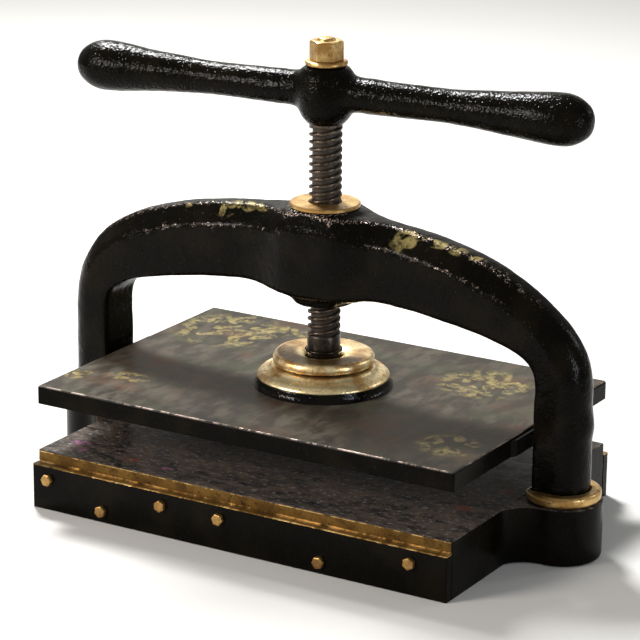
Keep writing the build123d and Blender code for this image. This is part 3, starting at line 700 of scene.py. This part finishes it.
# %% [markdown]
# ## Making pieces
#
# A piece is a bmesh turned into an object at the origin, with its place in its mesh. `piece`
# does the clerical part: it rides on its body, hides the parts of the engineering model that it
# stands for and gets the material it is given.

# %% Turning a bmesh into a piece
def piece(name, bm, material, body, replaced=()):
    """Finish a bmesh as a piece of the press."""
    mesh = bpy.data.meshes.new(name)
    bm.to_mesh(mesh)
    bm.free()
    mesh.shade_smooth()
    mesh.materials.append(material)
    made = bpy.data.objects.new(name, mesh)
    bpy.context.scene.collection.objects.link(made)
    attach(made, body)
    if replaced:
        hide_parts(*replaced)
    print(f"{name}: {len(mesh.polygons)} faces")
    return made


def with_modifiers(bm, name, *modifiers):
    """Run a bmesh through some modifiers, (type, settings), and return the result as a bmesh."""
    mesh = bpy.data.meshes.new(name)
    bm.to_mesh(mesh)
    bm.free()
    helper = bpy.data.objects.new(name, mesh)
    bpy.context.scene.collection.objects.link(helper)
    for kind, settings in modifiers:
        modifier = helper.modifiers.new(kind.lower(), kind)
        for setting, value in settings.items():
            setattr(modifier, setting, value)
    evaluated = helper.evaluated_get(bpy.context.evaluated_depsgraph_get())
    shaped = bpy.data.meshes.new_from_object(evaluated)
    result = bmesh.new()
    result.from_mesh(shaped)
    bpy.data.objects.remove(helper)
    return result


# %% [markdown]
# ### Lumps
#
# Nothing cast in sand or brushed with gilt is perfectly even. Moving every vertex along its normal
# by smooth noise, a tenth of a millimetre or two, is enough to make the highlights wander. The
# noise mostly sinks, so that no piece outgrows its engineering size.

# %% Lumps and ridges
LUMP_BIAS = 0.6           # taken off noise from -1 to 1, so that most of it sinks


def lumpy(bm, *waves):
    """Move the surface in and out by noise, for each (size, height) in metres."""
    bm.normal_update()
    for vertex in bm.verts:
        push = sum((noise.noise(vertex.co / size) - LUMP_BIAS) * height for size, height in waves)
        vertex.co += vertex.normal * push
    bm.normal_update()


def mark_ridges(bm, passes=4, gain=14.0):
    """Store how far each vertex stands out from its neighbours, blurred, as `edge`."""
    bm.normal_update()
    store = bm.verts.layers.float.new("edge")
    outward = {}
    for vertex in bm.verts:
        around = [edge.other_vert(vertex).co for edge in vertex.link_edges]
        middle = sum(around, Vector()) / len(around)
        reach = sum((co - vertex.co).length for co in around) / len(around)
        outward[vertex] = (vertex.co - middle).dot(vertex.normal) / reach
    for _ in range(passes):
        blurred = {}
        for vertex, value in outward.items():
            total = sum(outward[edge.other_vert(vertex)] for edge in vertex.link_edges)
            blurred[vertex] = 0.4 * value + 0.6 * total / len(vertex.link_edges)
        outward = blurred
    for vertex, value in outward.items():
        vertex[store] = max(0.0, min(1.5, value * gain))
    marks = sorted(vertex[store] for vertex in bm.verts)
    print("ridge marks by tenths:", [round(marks[len(marks) * i // 10], 2) for i in range(1, 10)])


# %% [markdown]
# ## Castings
#
# The arch and the handle were cast in sand from carved wooden patterns, then dipped in varnish:
# no edge is sharp and every junction is a soft fillet. Their engineering shapes are right but
# machined-looking. A copy, merged into one surface, is rebuilt as even small faces by a voxel
# remesh, relaxed, and given lumps, which softens every corner as a casting is. The arms of the
# handle grow out of its boss in a long hollow curve, so that stretch is smoothed much further.

# %% Casting from a part
BLEND_FROM = 16 * MM          # where the smooth stretch of an arm starts, from the axis
BLEND_TO = 40 * MM
BLEND_PASSES = 60


def casting(node, voxel, relax, *waves):
    """A cast version of one part of the engineering model, as a bmesh."""
    bm = bmesh.new()
    bm.from_mesh(nodes[node].data)
    bmesh.ops.remove_doubles(bm, verts=bm.verts, dist=0.002 * MM)
    remesh = ("REMESH", {"mode": "VOXEL", "voxel_size": voxel, "use_smooth_shade": True})
    smooth = ("SMOOTH", {"factor": 0.5, "iterations": relax})
    bm = with_modifiers(bm, node + "_rough", remesh, smooth)
    lumpy(bm, *waves)
    return bm


arch = casting("arch_frame", 1.3 * MM, 28, (28 * MM, 0.55 * MM), (9 * MM, 0.20 * MM))
mark_ridges(arch)
piece("arch_casting", arch, arch_material, "press_frame", ["arch_frame"])

handle = casting("handle", 1.2 * MM, 5, (30 * MM, 0.5 * MM), (8 * MM, 0.18 * MM))
junction = [vertex for vertex in handle.verts if BLEND_FROM < vertex.co.xy.length < BLEND_TO]
for _ in range(BLEND_PASSES):
    bmesh.ops.smooth_vert(handle, verts=junction, factor=0.5,
                          use_axis_x=True, use_axis_y=True, use_axis_z=True)
mark_ridges(handle)
piece("handle_casting", handle, handle_material, "screw_assembly", ["handle"])

# %% [markdown]
# ## Small gilt fittings
#
# The foot collars, the washer, the nut and the strap bolts have the right shapes already and only
# need their corners worn, so they are made the same way with a much finer voxel.

# %% Collars, washer, nut and bolts
FITTINGS = [
    ("left_foot_collar", "left_collar", 0.6, 4, trim_material, "press_frame"),
    ("right_foot_collar", "right_collar", 0.6, 4, trim_material, "press_frame"),
    ("handle_washer", "gilt_washer", 0.5, 4, trim_material, "screw_assembly"),
    ("handle_nut", "gilt_nut", 0.4, 5, trim_material, "screw_assembly"),
    ("front_strap_bolts", "front_bolts", 0.4, 4, bolt_material, "press_frame"),
    ("rear_strap_bolts", "rear_bolts", 0.4, 4, bolt_material, "press_frame"),
]
for node, name, voxel, relax, material, body in FITTINGS:
    fitting = casting(node, voxel * MM, relax, (6 * MM, 0.12 * MM))
    piece(name, fitting, material, body, [node])

# %% [markdown]
# ## Turned pieces
#
# The two tiers of the cap were turned on a lathe and gilded thickly, so a spun outline is the
# natural way. The outline is closed through the hole in the middle, spun all the way round, then
# rounded by a subdivision surface before the lumps go on.

# %% Turned pieces
def turned(name, outline, waves, steps=72, levels=2):
    """Spin a closed outline of (radius, height) in millimetres round the screw's axis."""
    bm = bmesh.new()
    ring = [bm.verts.new((radius * MM, 0.0, height * MM)) for radius, height in outline]
    edges = [bm.edges.new((ring[i - 1], ring[i])) for i in range(len(ring))]
    bmesh.ops.spin(bm, geom=ring + edges, cent=(0, 0, 0), axis=(0, 0, 1), angle=2 * math.pi,
                   steps=steps, use_merge=True)
    bmesh.ops.recalc_face_normals(bm, faces=bm.faces)
    rounded = ("SUBSURF", {"levels": levels, "render_levels": levels})
    bm = with_modifiers(bm, name + "_rough", rounded)
    lumpy(bm, *waves)
    return bm


BORE = 14.2               # radius of the hole in both tiers, in millimetres
flange_z = flange_low.z / MM
flange_r = flange_high.x / MM
cap_z = cap_low.z / MM
cap_top = cap_high.z / MM
cap_r = cap_high.x / MM
GILT_LUMPS = [(22 * MM, 0.35 * MM), (7 * MM, 0.16 * MM)]

# a lip hangs over the seat, then the outline slopes up to the foot of the upper tier
lower_tier = turned("cap_lower", [
    (BORE, flange_z), (flange_r - 5.0, flange_z), (flange_r - 4.0, flange_z - 2.0),
    (flange_r + 1.2, flange_z - 2.2), (flange_r + 2.3, flange_z - 1.2),
    (flange_r + 1.7, flange_z + 0.8), (flange_r - 0.2, flange_z + 2.6),
    (flange_r - 2.0, flange_z + 3.9), (flange_r - 5.2, flange_z + 5.1),
    (flange_r - 8.2, flange_z + 6.4), (flange_r - 9.6, flange_z + 8.2),
    (flange_r - 11.0, cap_z - 0.1), (BORE, cap_z - 0.1)], GILT_LUMPS)
piece("cap_lower", lower_tier, cap_material, "platen_assembly", ["retainer_flange"])

# a bulging side and a level top with a raised rim
upper_tier = turned("cap_upper", [
    (BORE, cap_z + 0.2), (cap_r - 3.4, cap_z + 0.2), (cap_r - 1.2, cap_z + 1.2),
    (cap_r - 0.3, cap_z + 4.2),
    (cap_r - 0.9, cap_z + 7.4), (cap_r - 2.9, cap_top - 0.9), (cap_r - 5.2, cap_top - 0.35),
    (cap_r - 7.2, cap_top - 0.8), (BORE, cap_top - 0.8)], GILT_LUMPS)
piece("cap_upper", upper_tier, cap_material, "platen_assembly", ["retainer_cap"])

# %% [markdown]
# The cap stands on a round seat cast with the platen. The casting flares into the plate in a
# hollow curve, thick with varnish, so a glossy ring is laid over the plain seat.

# %% Seat ring
seat_z = SEAT_TOP / MM
plate_z = PLATEN_TOP / MM
seat = turned("seat_ring", [
    (50.0, plate_z - 0.8), (60.4, plate_z - 0.8), (60.0, plate_z + 0.02), (58.9, plate_z + 0.6),
    (57.6, plate_z + 1.9), (56.7, plate_z + 4.0), (56.3, plate_z + 6.4), (55.9, seat_z - 1.4),
    (54.8, seat_z - 0.25), (53.0, seat_z - 0.1), (50.0, seat_z - 0.1)], [(24 * MM, 0.2 * MM)])
seat_material = new_finish("seat_japan")
seat_tree = seat_material.node_tree
finish(seat_material, japan(seat_tree, peel=0.25, sand=0.30, roughness=0.15), specular=0.12)
piece("seat_ring", seat, seat_material, "platen_assembly")

# %% [markdown]
# ## The screw
#
# A square thread with two starts climbs two ridges in every turn. Seen end-on its section is a
# disc with two broad ridges, and the thread is that section turned as it rises. `spin` takes a
# rise for every step, so one call sweeps all fourteen turns. Wear has rounded the crests, so the
# section's ridges are rounded too.

# %% The screw
LEAD = 12.7 * MM
RIDGE_WIDTH = 3.0 * MM        # along the screw's axis
RIDGE_HALF_ANGLE = math.pi * RIDGE_WIDTH / LEAD
SQUARENESS = 5                # power of the curve over a crest: 2 is round, more is squarer
CREST_STEPS = 7
ROOT_STEPS = 4
STEPS_A_TURN = 36
# the plain stretches, in millimetres
FOOT_RADIUS = 24.0
FOOT_THICKNESS = 6.6
NECK_RADIUS = 14.0
SHANK_RADIUS = 8.4            # through the boss of the handle
STUD_RADIUS = 7.45
STUD_FOOT = 379.0


def thread_outline():
    """(angle, radius) round the two-ridged section, closest on the shoulders of the ridges."""
    points = []
    for start in (0.0, math.pi):
        for i in range(-CREST_STEPS, CREST_STEPS + 1):
            across = math.sin(i / CREST_STEPS * math.pi / 2)
            height = (1.0 - abs(across) ** SQUARENESS) ** 0.5
            radius = SCREW_ROOT + height * (SCREW_CREST - SCREW_ROOT)
            points.append((start + across * RIDGE_HALF_ANGLE, radius))
        for i in range(1, ROOT_STEPS):
            groove = i / ROOT_STEPS * (math.pi - 2 * RIDGE_HALF_ANGLE)
            points.append((start + RIDGE_HALF_ANGLE + groove, SCREW_ROOT))
    return points


def plain_turning(bm, outline, steps=64):
    """Add a closed turned solid, its outline starting and ending on the axis, to a bmesh."""
    line = [bm.verts.new((radius * MM, 0.0, height * MM)) for radius, height in outline]
    edges = [bm.edges.new(pair) for pair in zip(line, line[1:])]
    bmesh.ops.spin(bm, geom=line + edges, cent=(0, 0, 0), axis=(0, 0, 1), angle=2 * math.pi,
                   steps=steps, use_merge=True)


def screw_piece():
    """Foot disc, neck with its bead, thread, shank and stud, as one bmesh."""
    bm = bmesh.new()
    section = [bm.verts.new((radius * math.cos(angle), radius * math.sin(angle), THREAD_LOW))
               for angle, radius in thread_outline()]
    bottom = bm.faces.new(section)
    turns = (THREAD_HIGH - THREAD_LOW) / LEAD
    steps = round(turns * STEPS_A_TURN)
    rise = (THREAD_HIGH - THREAD_LOW) / steps
    swept = bmesh.ops.spin(bm, geom=list(bottom.edges), cent=(0, 0, 0), axis=(0, 0, 1),
                           dvec=(0, 0, rise), angle=2 * math.pi * turns, steps=steps)
    last = [part for part in swept["geom_last"] if isinstance(part, bmesh.types.BMEdge)]
    bmesh.ops.edgeloop_fill(bm, edges=last)
    low, high = screw_low.z / MM, screw_high.z / MM
    foot_top = low + FOOT_THICKNESS
    thread_foot, thread_head = THREAD_LOW / MM, THREAD_HIGH / MM
    plain_turning(bm, [
        (0, low), (FOOT_RADIUS, low), (FOOT_RADIUS, foot_top), (NECK_RADIUS, foot_top),
        (NECK_RADIUS, cap_top + 0.2), (NECK_RADIUS + 1.4, cap_top + 0.35),
        (NECK_RADIUS + 2.1, cap_top + 1.0), (NECK_RADIUS + 2.1, cap_top + 2.0),
        (NECK_RADIUS + 1.3, cap_top + 2.8), (NECK_RADIUS, cap_top + 3.0),
        (NECK_RADIUS, thread_foot - 1.5), (NECK_RADIUS - 0.8, thread_foot + 0.5),
        (0, thread_foot + 0.5)])
    plain_turning(bm, [
        (0, thread_head - 0.5), (NECK_RADIUS - 0.1, thread_head - 0.5),
        (NECK_RADIUS - 0.1, thread_head + 1.2), (SHANK_RADIUS, thread_head + 1.2),
        (SHANK_RADIUS, STUD_FOOT), (STUD_RADIUS, STUD_FOOT), (STUD_RADIUS, high - 2.0),
        (STUD_RADIUS - 0.85, high - 0.6), (STUD_RADIUS - 2.25, high - 0.1), (0, high)])
    bmesh.ops.remove_doubles(bm, verts=bm.verts, dist=0.005 * MM)
    bmesh.ops.recalc_face_normals(bm, faces=bm.faces)
    return bm


screw = screw_piece()
screw_object = piece("screw", screw, screw_material, "screw_assembly", ["press_screw"])
screw_object.data.set_sharp_from_angle(angle=math.radians(50))

# %% [markdown]
# ## Parts that keep their engineering shape
#
# The bed, the straps, the platen, the bush and the hidden fastenings are already right. Only
# their finish changes, by putting a new material in each slot of the part.

# %% Finishes for the parts that stay
KEPT = {
    "bed_casting": bed_material, "front_strap": strap_material, "rear_strap": strap_material,
    "platen": platen_material, "screw_bush": trim_material, "bush_set_screw": steel_material,
    "thrust_pad": bronze_material, "retainer_screws": steel_material,
}
for side in ("left", "right"):
    for fastening in ("leg_stud", "leg_washer", "leg_nut"):
        KEPT[f"{side}_{fastening}"] = steel_material
for node, material in KEPT.items():
    for slot in nodes[node].material_slots:
        slot.material = material
print(f"{len(KEPT)} parts keep their shape")

# %% [markdown]
# ## Floor
#
# A plain pale floor, matt, with only a breath of cloud in its colour.

# %% Floor
floor_mesh = bmesh.new()
bmesh.ops.create_circle(floor_mesh, cap_ends=True, segments=64, radius=14.0)
floor_data = bpy.data.meshes.new("floor")
floor_mesh.to_mesh(floor_data)
floor_mesh.free()
floor = bpy.data.objects.new("floor", floor_data)
bpy.context.scene.collection.objects.link(floor)
floor_material = new_finish("pale_floor")
floor_tree = floor_material.node_tree
pale = mix(floor_tree, grain(floor_tree, 0.5), shade(196, 195, 192), shade(200, 199, 197))
matt = add(floor_tree, "BsdfPrincipled",
           {"Base Color": pale, "Roughness": 0.9, "Specular IOR Level": 0.1})
add(floor_tree, "OutputMaterial", {"Surface": matt.outputs[0]})
floor_data.materials.append(floor_material)
floor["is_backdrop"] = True
print(f"{floor_data.name}: {len(floor_data.polygons)} face")

# %% [markdown]
# ## Light
#
# Black varnish shows its shape only by what it reflects. A broad dim panel behind the press and an
# even grey sky give the soft sheen on the level faces, which are seen at a low angle. The small,
# strong softbox high on the left draws the streaks along the ridges and throws the shadow to the
# right. The others are weaker and lift the front, the right leg and the back of the arch.

# %% Light
def softbox(name, at, aim, width, height, power, colour=(1.0, 1.0, 1.0)):
    """Rectangular light at one point, facing another."""
    data = bpy.data.lights.new(name, "AREA")
    data.shape = "RECTANGLE"
    data.size = width
    data.size_y = height
    data.energy = power
    data.color = colour
    light = bpy.data.objects.new(name, data)
    bpy.context.scene.collection.objects.link(light)
    facing = (Vector(aim) - Vector(at)).to_track_quat("-Z", "Y")
    light.matrix_world = Matrix.Translation(at) @ facing.to_matrix().to_4x4()
    print(f"{name}: {power:.0f} W")


CENTRE = (0.0, 0.0, 0.2)
softbox("high_left", (-1.15, 0.85, 1.95), CENTRE, 0.52, 0.5, 116.0)
softbox("front_left", (-1.15, -1.80, 1.05), CENTRE, 0.7, 0.55, 48.0, (1.0, 0.93, 0.88))
softbox("back_panel", (-2.1, 3.5, 1.5), CENTRE, 3.4, 2.2, 14.0, (1.0, 0.98, 0.93))
softbox("low_right", (1.6, -0.35, 0.5), CENTRE, 0.2, 0.6, 7.0, (0.84, 0.91, 1.0))
softbox("back_right", (1.5, 1.8, 1.2), CENTRE, 0.4, 0.6, 6.0)

world = bpy.data.worlds.new("studio")
bpy.context.scene.world = world
world.use_nodes = True
sky = world.node_tree.nodes["Background"]
sky.inputs["Color"].default_value = (0.32, 0.315, 0.30, 1.0)
sky.inputs["Strength"].default_value = 1.0
bpy.context.scene.view_settings.view_transform = "Standard"

# %% [markdown]
# ## Sizes, and the end
#
# The looks must not change the size of the press, so both boxes are measured and the change at each
# side is printed.

# %% Compare the sizes
visual_box = [list(corner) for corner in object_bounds()]
changes = [abs(b - a) / MM for c, v in zip(cad_box, visual_box) for a, b in zip(c, v)]
print("changed by (mm):", [round(change, 2) for change in changes])
